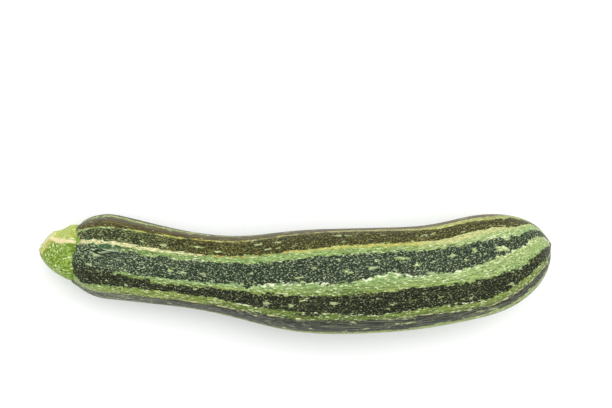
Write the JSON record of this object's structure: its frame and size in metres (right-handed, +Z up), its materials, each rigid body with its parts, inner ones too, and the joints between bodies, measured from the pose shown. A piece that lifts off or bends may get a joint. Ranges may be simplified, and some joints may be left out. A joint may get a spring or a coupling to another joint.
{
  "type": "courgette",
  "caption": "Striped green courgette lying on its side, gently bowed, with a narrow neck, a cut stub of stem and a small blossom scar at its round end.",
  "frame": {"origin": "on the resting surface, under the centre of the bounding box", "axes": "+X along the courgette from the stem to the blossom end, +Y towards the inside of its bow, +Z up"},
  "size_m": [0.2202, 0.0516, 0.0453],
  "materials": {
    "fruit_skin": "waxy natural skin with a soft gloss, dark green with pale flecks and pale green stripes along the ribs",
    "stem_skin": "fresh green stem with pale flecks and pale ridges, cream to ochre where it was cut"
  },
  "bodies": {
    "root": {"fruit": "fruit_skin", "stem": "stem_skin"}
  },
  "joints": []
}
